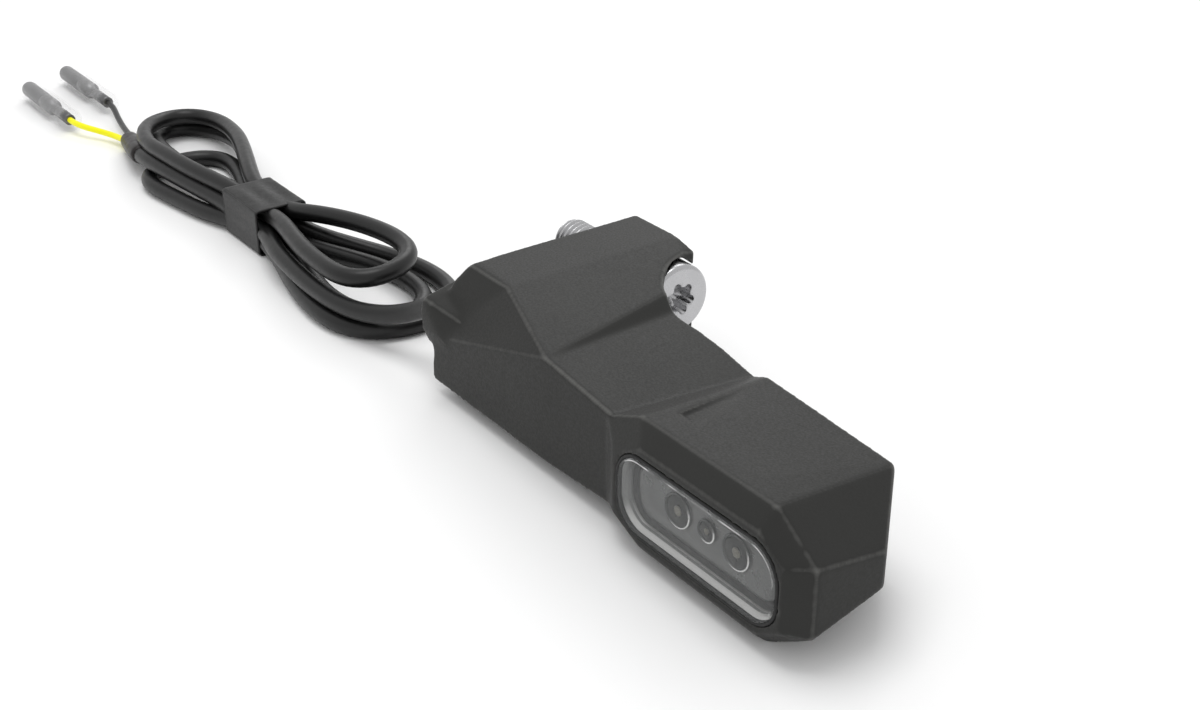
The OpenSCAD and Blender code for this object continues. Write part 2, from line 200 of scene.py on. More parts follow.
def cord_piece(name, line, diameter, body, slot, *nodes):
    """Curve of one open spline along the line, in the pod's millimetres."""
    curve = bpy.data.curves.new(name, "CURVE")
    curve.dimensions = "3D"
    # The points carry the radius, so that the curve's own box is as big as the cord and no bigger
    curve.bevel_depth = 1.0
    curve.bevel_resolution = 5
    curve.use_fill_caps = True
    spline = curve.splines.new("POLY")
    spline.points.add(len(line) - 1)
    for point, p in zip(spline.points, line):
        point.co = (*at(*p), 1)
        point.radius = diameter / 2 * MM
    spline.use_smooth = True
    return add(name, curve, body, slot, *nodes)


# ---------------------------------------------------------------- cords
SHEATH_D, CORE_D = 3.8, 1.5
SHEATH_STEP, CORE_STEP = 1.5, 0.8

sheath_route = [
    # out of the boss, down and along the front of the hank
    (-80.9, 4.6, 14.1), (-82.4, 4.6, 14.1), (-84.8, 4.6, 13.2), (-87.2, 4.4, 11.7),
    (-89.8, 3.8, 10.1), (-92.6, 2.7, 8.7), (-95.6, 1.6, 7.6), (-99, 0.5, 6.7),
    (-101.7, -0.5, 6.2), (-105.8, -1.5, 5.8), (-110.6, -2.2, 5.6), (-116.3, -2.4, 5.6),
    (-123, -2.3, 5.6), (-130.5, -1.7, 5.7), (-138.1, -0.9, 5.8), (-145, 1.0, 5.6),
    (-151, 2.6, 5.0), (-158, 4.2, 3.8), (-164, 2.6, 2.6),
    # first fold at the far end, low
    (-169, 1.4, 2.2), (-174.9, -0.6, 2.0), (-181.1, -1.6, 1.9), (-186.9, -2.5, 1.9),
    (-193.2, -3.5, 1.9), (-197.7, -4.0, 1.9), (-202, -3.2, 1.9), (-205, -0.4, 1.9),
    (-206.9, 3.6, 1.9), (-207.8, 8, 1.9), (-207.5, 11.5, 1.9), (-206.3, 14, 1.9),
    (-204.6, 15.8, 1.9), (-202.2, 16.9, 1.9), (-198.8, 17.1, 1.9), (-193.1, 16.0, 1.9),
    (-185, 13.5, 1.9), (-176, 10.3, 2.1), (-167, 7.6, 2.4), (-158, 7.2, 2.4), (-150, 7.3, 2.4),
    # second fold beside the head, low and hidden by the boss
    (-145, 8.3, 2.6), (-140, 9.6, 2.8), (-135, 11.6, 2.8), (-131, 14.2, 2.4),
    (-127.1, 16.3, 2.0), (-122.1, 17.7, 1.9), (-117, 18.1, 1.9), (-111.5, 17.8, 1.9),
    (-106, 15.6, 1.9), (-103.3, 10.6, 1.9), (-105.4, 5.3, 1.9), (-110.5, 2.7, 1.9),
    (-117, 1.5, 1.9), (-123, 1.2, 2.2), (-129, 2.2, 2.9), (-134.5, 3.4, 3.7), (-141, 4.6, 4.3),
    (-147, 5.8, 5.0), (-151, 6.0, 5.5),
    # upper fold at the far end
    (-158, 5.2, 6.8), (-165, 4.3, 8.1), (-170.5, 3.6, 8.5), (-179, 2.0, 8.7),
    (-187.1, 0.8, 8.8), (-196.8, 0.2, 8.7), (-202.1, -0.1, 8.5), (-208, 0.4, 8.0),
    (-216.3, 2.9, 7.4), (-221.9, 6.2, 6.8), (-225.7, 10.4, 6.2), (-227.3, 14.8, 5.8),
    (-226.1, 18.9, 5.7), (-221.5, 21.7, 5.8), (-214.3, 22.2, 6.4), (-204.9, 20.8, 7.4),
    (-195.2, 18.2, 8.4), (-187.1, 15.4, 8.8), (-177, 11.8, 8.9), (-168, 8.9, 8.5),
    (-158, 8.1, 7.9), (-151, 8.4, 8.3),
    # top fold beside the head
    (-146.5, 9.5, 9.2), (-141.7, 11.2, 10), (-136, 13, 10.6), (-130.6, 14.8, 10.9),
    (-124.6, 16.1, 11.1), (-118.9, 16.8, 11.2), (-113.6, 16.4, 11.2), (-110.2, 15, 11.2),
    (-107.6, 12.6, 11.2), (-106, 9.6, 11.1), (-105.3, 5.9, 10.9), (-105.9, 2.6, 10.7),
    (-108.6, 0.3, 10.5), (-113.4, -0.6, 10.3), (-119.5, -0.3, 10.1), (-126.8, 0.1, 9.9),
    (-135.6, 1.7, 9.6), (-143.8, 3.5, 9.2), (-150, 4.4, 8.2),
    # middle fold at the far end
    (-158, 5.0, 6.9), (-165, 5.8, 5.6), (-170, 5.6, 5.3), (-177, 4.9, 5.3), (-186, 4.0, 5.3),
    (-197, 3.9, 5.3), (-204, 3.9, 5.3), (-211, 4.7, 4.8), (-218, 6.6, 3.6), (-222.5, 7.7, 2.6),
    (-226.5, 9.2, 2.0), (-229.2, 11.8, 1.9), (-229.6, 15.4, 1.9), (-227.7, 19.1, 1.9),
    (-223.9, 21.8, 2.0), (-217.1, 23.4, 2.4), (-208.2, 22.9, 3.4), (-197, 19.7, 4.7),
    (-188.2, 16.6, 5.0), (-178, 12.8, 5.1), (-168, 10.3, 5.2), (-158, 9.8, 5.3),
    (-151, 9.5, 5.2),
    # last fold beside the head, outermost on the table
    (-146.6, 10, 4.8), (-142.6, 11.8, 4.3), (-139.6, 14.2, 3.6), (-136, 17, 2.8),
    (-132, 19.9, 2.2), (-127, 22, 1.9), (-121.7, 23.3, 1.9), (-115.7, 23.8, 1.9),
    (-110, 23.3, 1.9), (-104.8, 21.2, 1.9), (-101, 16.9, 1.9), (-99.4, 11.3, 1.9),
    (-99.7, 5.7, 1.9), (-101.7, 1.2, 1.9), (-105.5, -1.8, 1.9), (-111.5, -3.4, 1.9),
    (-119.5, -3.1, 1.9), (-125, -2.4, 1.9), (-130.5, -1.3, 1.9), (-137, 0.2, 1.9),
    (-144, 2.1, 2.1), (-150, 2.5, 2.6),
    # last pass through the band to the cores
    (-158, 2.4, 3.8), (-165, 2.4, 5.1), (-169.4, 2.2, 5.3), (-177.8, 1.0, 5.5),
    (-186.1, 0, 5.6), (-194.9, -1.1, 5.7), (-204, -1.6, 5.6), (-210, -1.2, 5), (-215.5, 0, 4.2),
    (-220.5, 1.3, 3.4), (-225.5, 2.6, 2.7),
]
sheath_line = relaxed(catmull(sheath_route, SHEATH_STEP), 12)
sheath = cord_piece(
    "sheath", sheath_line, SHEATH_D, "indicator", "sheath_black",
    "sheath_lead", "hank", "sheath_tail")

# The cores start inside the sheath's tail and end inside the terminals' crimps
yellow_route = [
    (-217.5, 0, 3.5), (-221, 0.9, 2.8), (-224, 1.5, 2.4), (-228.5, 2, 2.2), (-233.5, 1.1, 2.1),
    (-238, -1, 2.4), (-241.5, -3, 2.8), (-244.5, -4, 3), (-247.5, -4.3, 3.1), (-251, -4.3, 3.1),
]
black_route = [
    (-217.5, 0.8, 4.1), (-221, 2.2, 3.4), (-224, 3.1, 2.8), (-228.5, 4, 2.6),
    (-233.5, 4.8, 2.3), (-239, 5.8, 2.2), (-245, 7, 2.5), (-248.5, 7.8, 2.8), (-251.5, 8.3, 3),
    (-254.5, 8.4, 3.1), (-258, 8.4, 3.1),
]
yellow_line = relaxed(catmull(yellow_route, CORE_STEP), 3)
black_line = relaxed(catmull(black_route, CORE_STEP), 3)
yellow = cord_piece("core_y", yellow_line, CORE_D, "indicator", "core_yellow", "wire_yellow")
black = cord_piece("core_b", black_line, CORE_D, "indicator", "core_black", "wire_black")


# ---------------------------------------------------------------- materials
class Maker:
    """Node material with small helpers. Noise runs on the object coordinates, in metres."""

    def __init__(self, name):
        self.m = bpy.data.materials.new(name)
        self.m.use_nodes = True
        self.t = self.m.node_tree
        self.b = self.t.nodes["Principled BSDF"]
        self.coords = self.t.nodes.new("ShaderNodeTexCoord")

    def set(self, **values):
        for key, value in values.items():
            self.b.inputs[key.replace("_", " ")].default_value = value

    def noise(self, scale, detail=2.0, rough=0.5):
        n = self.t.nodes.new("ShaderNodeTexNoise")
        for key, value in (("Scale", scale), ("Detail", detail), ("Roughness", rough)):
            n.inputs[key].default_value = value
        self.t.links.new(self.coords.outputs["Object"], n.inputs["Vector"])
        return n.outputs["Fac"]

    def attribute(self, name):
        n = self.t.nodes.new("ShaderNodeAttribute")
        n.attribute_name = name
        return n.outputs["Fac"]

    def tones(self, fac, dark, light):
        """Blend from dark to light over the middle of the noise's range."""
        r = self.t.nodes.new("ShaderNodeValToRGB")
        self.t.links.new(fac, r.inputs["Fac"])
        for stop, place, colour in zip(r.color_ramp.elements, (0.3, 0.7), (dark, light)):
            stop.position = place
            stop.color = (*colour, 1)
        return r.outputs["Color"]

    def range(self, fac, low, high, a=0.0, b=1.0):
        r = self.t.nodes.new("ShaderNodeMapRange")
        self.t.links.new(fac, r.inputs["Value"])
        for key, value in zip(("From Min", "From Max", "To Min", "To Max"), (a, b, low, high)):
            r.inputs[key].default_value = value
        return r.outputs["Result"]

    def grain_range(self, grain, low, high):
        """Like range, over the narrow middle that fine noise really covers."""
        return self.range(grain, low, high, 0.35, 0.65)

    def mix(self, fac, a, b):
        n = self.t.nodes.new("ShaderNodeMix")
        n.data_type = "RGBA"
        self.t.links.new(fac, n.inputs[0])
        for socket, value in ((n.inputs[6], a), (n.inputs[7], b)):
            if isinstance(value, tuple):
                socket.default_value = (*value, 1)
            else:
                self.t.links.new(value, socket)
        return n.outputs[2]

    def link(self, out, name):
        self.t.links.new(out, self.b.inputs[name])

    def bump(self, height, strength, distance):
        """Adds a bump on top of those the material already has."""
        n = self.t.nodes.new("ShaderNodeBump")
        n.inputs["Strength"].default_value = strength
        n.inputs["Distance"].default_value = distance
        self.t.links.new(height, n.inputs["Height"])
        old = self.b.inputs["Normal"]
        if old.links:
            self.t.links.new(old.links[0].from_socket, n.inputs["Normal"])
        self.t.links.new(n.outputs["Normal"], old)


def plastic(name, dark, light, rough, fine=900.0, bump=0.06, spec=0.5):
    m = Maker(name)
    m.link(m.tones(m.noise(60, 3), dark, light), "Base Color")
    grain = m.noise(fine, 4, 0.6)
    m.link(m.grain_range(grain, *rough), "Roughness")
    m.bump(grain, bump, 0.0002)
    m.set(Specular_IOR_Level=spec)
    return m.m


def housing_material():
    """Satin charcoal coat with a painted highlight: lighter where the mesh's "edge" attribute is
    high.
    """
    m = Maker("housing_paint")
    base = m.tones(m.noise(45, 3), (0.023, 0.023, 0.0218), (0.027, 0.027, 0.0256))
    # painted highlight: the crest lines are mixed towards a light grey
    edge = m.range(m.attribute("edge"), 0.0, 0.75, 0.25, 1.0)
    m.link(m.mix(edge, base, (0.125, 0.125, 0.12)), "Base Color")
    grain = m.noise(2600, 4, 0.65)
    m.link(m.grain_range(grain, 0.42, 0.58), "Roughness")
    m.bump(grain, 0.10, 0.00012)
    m.bump(m.noise(220, 2), 0.05, 0.0004)
    m.set(Specular_IOR_Level=0.17)
    return m.m


def metal(name, colour, low, high, tone=0.85, fine=500.0):
    """Bare metal from tone times the colour to the colour; low and high are its roughness."""
    m = Maker(name)
    m.link(m.tones(m.noise(90, 3), [c * tone for c in colour], colour), "Base Color")
    grain = m.noise(fine, 5, 0.6)
    m.link(m.grain_range(grain, low, high), "Roughness")
    m.bump(grain, 0.08, 0.0001)
    m.set(Metallic=1.0)
    return m.m


def lit_film(name, dark, light, low, high):
    """Metal film with painted light: brighter where the mesh's "lit" attribute is high."""
    m = Maker(name)
    shade = m.tones(m.noise(300, 3), [0.85 * c for c in dark], dark)
    m.link(m.mix(m.attribute("lit"), shade, light), "Base Color")
    m.link(m.grain_range(m.noise(700, 4), low, high), "Roughness")
    m.set(Metallic=1.0)
    return m.m


def rim_clear(name):
    """Edge of the clear lens with a painted highlight where the mesh's "lit" attribute is high.
    """
    m = Maker(name)
    glint = m.mix(m.range(m.noise(260, 2), 0.0, 1.0, 0.40, 0.56), (0, 0, 0), m.attribute("lit"))
    m.link(m.range(glint, 0.04, 0.75), "Alpha")
    m.link(m.tones(m.noise(500, 3), (0.5, 0.5, 0.5), (0.8, 0.8, 0.8)), "Base Color")
    m.link(m.range(m.noise(900, 3), 0.05, 0.15), "Roughness")
    return m.m


def clear(name, tint, low, high, rough=0.04, ior=1.49, shine=0.3):
    """Thin clear plastic: its opacity goes from low, face on, to high, where it is edge on."""
    m = Maker(name)
    facing = m.t.nodes.new("ShaderNodeLayerWeight")
    facing.inputs["Blend"].default_value = 0.35
    wave = m.noise(140, 2)
    m.link(m.range(facing.outputs["Facing"], low, high), "Alpha")
    m.link(m.tones(wave, tint, [min(1, c * 1.05) for c in tint]), "Base Color")
    m.link(m.range(m.noise(700, 3), rough, rough + 0.05), "Roughness")
    m.bump(wave, 0.02, 0.0003)
    m.set(Specular_IOR_Level=shine, IOR=ior)
    return m.m


def grey(value):
    return (value,) * 3


HOUSING = housing_material()
SHEATH = plastic("sheath_pvc", grey(0.004), grey(0.006), (0.34, 0.42), 700, 0.05, 0.40)
BAND = plastic("band_tape", grey(0.012), grey(0.017), (0.36, 0.48), 1500, 0.10, 0.32)
SHRINK = plastic(
    "shrink_tube", (0.008, 0.006, 0.006), (0.014, 0.010, 0.0095), (0.34, 0.46), 500, 0.12, 0.3)
RUBBER = plastic("seal_rubber", grey(0.010), grey(0.016), (0.55, 0.7), 900, 0.08, 0.35)
YELLOW = plastic(
    "core_yellow_pvc", (0.88, 0.84, 0.004), (0.98, 0.95, 0.01), (0.30, 0.40), 700, 0.05, 0.25)
BLACK = plastic("core_black_pvc", grey(0.010), grey(0.016), (0.28, 0.38), 700, 0.05, 0.4)
SCREW = metal("screw_plating", (0.50, 0.50, 0.51), 0.22, 0.34, 0.92)
TIN = metal("terminal_tin", (0.17, 0.17, 0.172), 0.34, 0.5)
SILVER = metal("reflector_film", (0.115, 0.117, 0.115), 0.26, 0.4, 0.8, 300)
# painted light: the reflector's wall is lighter towards its bottom side
WALL = lit_film("reflector_wall_painted_light", (0.15, 0.152, 0.15), (0.50, 0.50, 0.49), 0.3, 0.42)
CUP = metal("lamp_cup_film", (0.03, 0.03, 0.029), 0.12, 0.25)
# dark bezel film with a painted highlight
BEZEL_PAINTED_GLINT = lit_film("bezel_film_painted_glint", (0.06, 0.06, 0.059), (0.80, 0.80, 0.79), 0.1, 0.2)
LENS = clear("lens_clear", (0.55, 0.56, 0.56), 0.015, 0.22)
LAMP = clear("lamp_epoxy", (0.02, 0.02, 0.019), 0.30, 0.92, 0.04, 1.55, 0.15)
RIM = rim_clear("lens_rim_painted_glint")
SLEEVE = clear("sleeve_vinyl", (0.97, 0.97, 0.98), 0.02, 0.14, 0.08, 1.49, 0.9)
BOARD = plastic("board_mask", (0.012, 0.09, 0.03), (0.02, 0.13, 0.05), (0.3, 0.45), 800, 0.05)
CHIP = plastic("package_black", grey(0.012), grey(0.02), (0.5, 0.65), 1500, 0.08)
RESIN = plastic(
    "resin_dark", (0.012, 0.012, 0.014), (0.02, 0.02, 0.022), (0.25, 0.4), 300, 0.05)
PHOSPHOR = plastic(
    "lamp_phosphor", (0.30, 0.28, 0.22), (0.38, 0.36, 0.28), (0.3, 0.4), 900, 0.05)

paint(sheath, SHEATH)
paint(yellow, YELLOW)
paint(black, BLACK)
# CAD nodes that nothing replaces
for node, material in {
    "led_board": BOARD, "driver_chip": CHIP, "resistor_left": CHIP, "resistor_right": CHIP,
    "potting": RESIN, "core_inner_yellow": YELLOW, "core_inner_black": BLACK,
    "sheath_inner": SHEATH,
}.items():
    paint(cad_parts[node], material)


# ---------------------------------------------------------------- housing
HOUSING_VOXEL = 0.00034
# Turning the solid before it is remeshed keeps the grid's steps off its crest lines
GRID_TURN = Euler((0.42, 0.55, 0.63)).to_matrix().to_4x4()
SOFTEN_ROUNDS, EDGE_ROUNDS, FILLET_ROUNDS = 8, 6, 30
POCKET_FROM = 3  # the lens pocket keeps its shape from this round on
EDGE_DEPTH = 0.00011  # m; a point that sank this far is fully on an edge


def remeshed(node, voxel):
    """Dense even mesh of a CAD node."""
    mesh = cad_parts[node].data.copy()
    bm = bmesh.new()
    bm.from_mesh(mesh)
    bmesh.ops.remove_doubles(bm, verts=bm.verts, dist=1e-6)
    bm.to_mesh(mesh)
    bm.free()
    mesh.transform(GRID_TURN)
    temp = bpy.data.objects.new("temp", mesh)
    scene.collection.objects.link(temp)
    mod = temp.modifiers.new("remesh", "REMESH")
    mod.mode = "VOXEL"
    mod.voxel_size = voxel
    mod.adaptivity = 0
    evaluated = temp.evaluated_get(bpy.context.evaluated_depsgraph_get())
    out = bpy.data.meshes.new_from_object(evaluated)
    bpy.data.objects.remove(temp)
    out.transform(GRID_TURN.inverted())
    return out


def array_of(items, key, width, kind=float):
    """A mesh's points or edges as an array with one row each."""
    values = np.empty(len(items) * width, kind)
    items.foreach_get(key, values)
    return values.reshape(-1, width)


def soften(mesh, weight):
    """Rounds a dense mesh's edges: each round moves a point towards the mean of its neighbours.
    The points that moved inwards most lie on the outer edges, which the paint shows lighter as a
    painted highlight."""
    co = array_of(mesh.vertices, "co", 3)
    normal = array_of(mesh.vertices, "normal", 3)
    a, b = array_of(mesh.edges, "vertices", 2, np.int64).T
    n = len(co)
    degree = np.bincount(np.concatenate([a, b]), minlength=n).clip(1)

    def near(values):
        return (np.bincount(a, values[b], n) + np.bincount(b, values[a], n)) / degree

    start = co.copy()
    for i in range(FILLET_ROUNDS):
        mean = np.stack([near(co[:, k]) for k in range(3)], axis=1)
        co = co + weight(co, i)[:, None] * (mean - co)
        if i == EDGE_ROUNDS - 1:
            sunk = -((co - start) * normal).sum(axis=1)
    for _ in range(2):
        sunk = 0.5 * sunk + 0.5 * near(sunk)
    mesh.vertices.foreach_set("co", co.ravel())
    # the "edge" attribute marks where the paint puts its painted highlight
    layer = mesh.attributes.new("edge", "FLOAT", "POINT")
    layer.data.foreach_set("value", np.clip(sunk / EDGE_DEPTH, 0, 1))
    mesh.update()


def ramp01(v, a, b):
    return np.clip((v - a) / (b - a), 0, 1)


def housing_weight(co, i):
    """How far each point moves in round i: 0.5 all over at first, then only round the boss."""
    x, y, z = ((co - np.array(ORIGIN)) / MM).T
    w = np.full(len(co), 0.5 if i < SOFTEN_ROUNDS else 0.0)
    pocket = (np.abs(x) < 20) & (y < 9.5) & (np.abs(z - MID_Z) < 8)
    if i >= POCKET_FROM:
        w[pocket] = 0
    # the cable boss runs into the nose in a soft fillet
    boss = ramp01(x, -82, -79.5) * ramp01(x, -62, -68) * ramp01(z, 6, 8) * ramp01(y, 13, 10)
    return np.maximum(w, 0.5 * boss)


shell = remeshed("housing", HOUSING_VOXEL)
soften(shell, housing_weight)
housing = add("housing_shell", shell, "indicator", "housing_metal", "housing")
paint(housing, HOUSING)


# ---------------------------------------------------------------- lamp
CORNER = 12  # points round one corner
LOOP = 4 * CORNER


def outline(length, height, radius):
    """Rounded rectangle in mm, as (x, z) points round the middle of the lens."""
    points = []
    for sx, sz, start in ((1, 1, 0), (-1, 1, 90), (-1, -1, 180), (1, -1, 270)):
        for k in range(CORNER):
            a = math.radians(start + 90 * k / (CORNER - 1))
            points.append((
                sx * (length / 2 - radius) + radius * math.cos(a),
                sz * (height / 2 - radius) + radius * math.sin(a)))
    return points


def stack(name, layers, capped=True):
    """Loft of rounded rectangles: layers are (length, height, corner radius, y)."""
    points = []
    for length, height, radius, y in layers:
        points += [at(x, y, MID_Z + z) for x, z in outline(length, height, radius)]
    faces = grid_faces(len(layers), LOOP, flip=True)
    if capped:
        faces += end_caps(len(layers), LOOP, flip=True)
    return mesh_of(name, points, faces)


def mark_lit(mesh, value):
    """Stores value(x, z), the share of painted light, for every point, with x and z in mm from
    the middle of the lens.
    """
    layer = mesh.attributes.new("lit", "FLOAT", "POINT")
    layer.data.foreach_set("value", [
        min(1.0, max(0.0, value((v.co.x - ORIGIN.x) / MM, v.co.z / MM - MID_Z)))
        for v in mesh.vertices])


def paint_bands(mesh, first, last, index):
    """Gives the faces between two layers of a stack another of its materials."""
    for face in list(mesh.polygons)[first * LOOP:last * LOOP]:
        face.material_index = index


lens_mesh = stack("lens_cover", [
    (35.4, 12.6, 4.9, -2.2), (35.96, 13.16, 5.18, -2.2), (36, 13.2, 5.2, -2.3),
    (36, 13.2, 5.2, -2.75), (35.9, 13.1, 5.15, -2.95), (35.6, 12.8, 5.0, -3.07),
    (35.2, 12.4, 4.8, -3.1)])
lens = add("lens_cover", lens_mesh, "indicator", "lens_clear", "lens")
LENS_PAINTS = (LENS, RIM)
paint(lens, *LENS_PAINTS)
# painted highlight along the lens's top and right edges
mark_lit(lens_mesh, lambda x, z: max((z - 4.5) / 1.5, (x - 14.5) / 3 if z > -3.5 else 0))
paint_bands(lens_mesh, 5, 6, LENS_PAINTS.index(RIM))

tray_mesh = stack("reflector_tray", [
    # back, flange and the wall that slopes in from it
    (34.3, 11.5, 4.35, 0.85), (34.4, 11.6, 4.4, -1.4), (35.85, 13.05, 5.1, -1.62),
    (35.8, 13.0, 5.1, -2.1), (35.6, 12.8, 5.0, -2.12), (34.1, 11.3, 4.35, -0.55),
    # groove round the floor, which gets a painted shade
    (34.0, 11.2, 4.3, 0.45), (33.7, 10.9, 4.2, 0.55), (32.4, 9.6, 3.7, 0.55),
    (32.1, 9.3, 3.6, 0.45), (31.9, 9.1, 3.5, -0.25),
    # floor
    (31.6, 8.8, 3.4, -0.33), (31.0, 8.2, 3.2, -0.3), (29.4, 6.8, 2.7, -0.1),
    (27.5, 5.0, 2.1, 0.05), (23, 1.6, 0.7, 0.12)])
tray = add("reflector_tray", tray_mesh, "indicator", "reflector_silver", "reflector")
TRAY_PAINTS = (SILVER, RUBBER, WALL)
paint(tray, *TRAY_PAINTS)
# painted light: the lower part of the wall is painted brighter
mark_lit(tray_mesh, lambda x, z: (-z - 3.2) / 2.4)
# painted shade: the groove round the floor takes the dark rubber paint
paint_bands(tray_mesh, 5, 10, TRAY_PAINTS.index(RUBBER))
paint_bands(tray_mesh, 1, 5, TRAY_PAINTS.index(WALL))

seal_mesh = stack("lens_gasket", [
    (36.04, 13.24, 5.22, -1.62), (36.04, 13.24, 5.22, -2.8), (36.2, 13.4, 5.3, -2.92),
    (36.9, 14.1, 5.65, -2.9), (37.15, 14.35, 5.78, -2.7), (37.15, 14.35, 5.78, -1.62),
    (36.04, 13.24, 5.22, -1.62)], capped=False)
bm = bmesh.new()
bm.from_mesh(seal_mesh)
bmesh.ops.remove_doubles(bm, verts=bm.verts, dist=1e-7)
bmesh.ops.recalc_face_normals(bm, faces=bm.faces)
bm.to_mesh(seal_mesh)
bm.free()
seal = add("lens_gasket", seal_mesh, "indicator", "seal_black", "lens_seal")
paint(seal, RUBBER)

LAMP_PITCH = 6.7
LARGE_LAMP_R, SMALL_LAMP_R = 2.5, 1.5
DOME_FOOT_Y, DOME_STEPS = -0.15, 9


def lamp_part(name, x, profile, material, slot, *nodes, make=lathe, count=48):
    """Part of a lamp, turned about the lamp's axis at x."""
    mesh = make(name, at(x, 0, MID_Z), TO_BACK, profile, count)
    paint(add(name, mesh, "indicator", slot, *nodes), material)
    return mesh


for side, x, r in (
    ("left", -LAMP_PITCH, LARGE_LAMP_R), ("right", LAMP_PITCH, LARGE_LAMP_R),
    ("center", 0, SMALL_LAMP_R),
):
    rim = r + 0.08
    ring_profile = [
        (0.05, rim), (-0.22, rim), (-0.34, rim + 0.06), (-0.38, rim + 0.18),
        (-0.33, rim + 0.32), (-0.2, rim + 0.4), (0.05, rim + 0.42)]
    ring = lamp_part(
        "lamp_ring_" + side, x, ring_profile, BEZEL_PAINTED_GLINT, "bezel_bright", "bezel_" + side,
        make=ring_lathe)
    # painted highlight: a bright crescent on each ring's lower right
    mark_lit(ring, lambda px, pz: ((px - x) * 0.7 - pz * 0.75) / rim - 0.15)

    rise, dome_r = 0.36 * r, r - 0.08
    dome_profile = [(0.85, AXIS_R), (0.85, r - 0.06), (0.1, r - 0.04), (DOME_FOOT_Y, dome_r)]
    dome_profile += [
        (DOME_FOOT_Y - rise * math.sin(a), dome_r * math.cos(a))
        for a in quarter(DOME_STEPS, 1)[:-1]]
    dome_profile.append((DOME_FOOT_Y - rise, AXIS_R))
    lamp_part("lamp_dome_" + side, x, dome_profile, LAMP, "lamp_clear", "led_" + side)

    cup_profile = [
        (0.3, AXIS_R), (0.3, r - 0.1), (-0.1, r - 0.1), (-0.14, r - 0.2), (-0.12, 0.5 * r),
        (-0.05, 0.4 * r), (-0.05, AXIS_R)]
    lamp_part("lamp_cup_" + side, x, cup_profile, CUP, "bezel_bright")
    die_profile = [
        (-0.03, AXIS_R), (-0.03, 0.32 * r), (-0.18, 0.34 * r), (-0.25, 0.28 * r),
        (-0.29, 0.1 * r), (-0.3, AXIS_R)]
    lamp_part("lamp_die_" + side, x, die_profile, PHOSPHOR, "core_yellow", count=24)


# ---------------------------------------------------------------- mounting screw
SCREW_Y, SCREW_Z = 38.6, 16.4
TIP, THREAD_END, NECK, SEAT, HEAD_TOP = -89.8, -75.4, -63.1, -62.8, -54.8
PITCH, THREAD_R, ROOT_DEPTH, POINT_R = 1.25, 3.98, 0.72, 3.05
STEPS_PER_PITCH = 9
SHANK_R, HEAD_R, HEAD_ROUND = 3.75, 6.48, 0.9
LOBE_AT, LOBE_R, VALLEY_R = 2.35, 0.8, 2.3  # the recess: six lobes on a circle


def star_radius(a):
    """Radius of the six-lobed recess at an angle, in mm."""
    lobe = (a + math.pi / 6) % (math.pi / 3) - math.pi / 6
    s, c = math.sin(lobe), math.cos(lobe)
    root = LOBE_R ** 2 - (LOBE_AT * s) ** 2
    return max(LOBE_AT * c + math.sqrt(root) if root > 0 else 0, VALLEY_R)


# Rings as (x, radius, kind); a "star" ring's radius is a share of the recess's
screw_rings = [(TIP, AXIS_R, "plain"), (TIP, 2.9, "plain"), (TIP + 0.1, POINT_R, "plain")]
thread_start = TIP + 0.25
for k in range(int((THREAD_END - thread_start) / PITCH * STEPS_PER_PITCH) + 1):
    screw_rings.append((thread_start + k * PITCH / STEPS_PER_PITCH, THREAD_R, "thread"))
screw_rings += [(x, r, "plain") for x, r in (
    (THREAD_END + 0.2, SHANK_R), (NECK, SHANK_R), (SEAT, 4.0), (SEAT, 6.1), (SEAT + 0.1, 6.38),
    (SEAT + 0.35, HEAD_R))]
for k in range(12):
    screw_rings.append((SEAT + 0.6 + k * 0.55, HEAD_R, "plain"))
for a in quarter(6):
    screw_rings.append((
        HEAD_TOP - HEAD_ROUND + HEAD_ROUND * math.sin(a),
        HEAD_R - HEAD_ROUND + HEAD_ROUND * math.cos(a), "plain"))
screw_rings += [
    (HEAD_TOP, 4.6, "plain"), (HEAD_TOP, 3.55, "plain"), (HEAD_TOP - 0.02, 1.06, "star"),
    (HEAD_TOP - 0.12, 1.0, "star"), (HEAD_TOP - 3.2, 1.0, "star"),
    (HEAD_TOP - 3.5, 0.8, "star"), (HEAD_TOP - 3.9, AXIS_R, "plain")]


def screw_radius(i, x, r, a):
    kind = screw_rings[i][2]
    if kind == "thread":
        phase = ((x - TIP) / PITCH - a / (2 * math.pi)) % 1
        groove = min(1, max(0, 1.35 * (2 * abs(phase - 0.5)) - 0.17))
        fade = min(1, (x - TIP - 0.1) / 1.1)
        crest = POINT_R + (THREAD_R - POINT_R) * fade
        return crest - ROOT_DEPTH * groove * min(1, fade + 0.3)
    if kind == "star":
        return star_radius(a) * r
    return r


screw_mesh = lathe(
    "mounting_screw", at(0, SCREW_Y, SCREW_Z), TO_FREE_END, [ring[:2] for ring in screw_rings],
    96, screw_radius)
screw = add("mounting_screw", screw_mesh, "screw", "screw_steel", "mount_screw")
paint(screw, SCREW)


# ---------------------------------------------------------------- grommet
BOSS = (-75.2, 4.6, 14.1)
grommet_mesh = ring_lathe("grommet_ring", at(*BOSS), TO_FREE_END, [
    (-5.25, 1.94), (-5.6, 1.96), (-5.68, 2.1), (-5.7, 2.4), (-5.66, 2.9), (-5.55, 3.4),
    (-5.4, 3.72), (-5.3, 3.75), (-5.3, 3.28), (-5.1, 3.26), (-1.4, 3.26), (-1.3, 3.2),
    (-1.3, 2.0), (-1.4, 1.94)])
grommet = add("grommet_ring", grommet_mesh, "indicator", "seal_black", "grommet")
paint(grommet, RUBBER)


# ---------------------------------------------------------------- tie band
BAND_X0, BAND_X1, BAND_COLUMNS = -166.2, -149.8, 28
BAND_Y0, BAND_Y1, BAND_TOP = 0.3, 12.1, 10.4
BAND_CORNER_R, BAND_THICKNESS = 0.9, 0.42


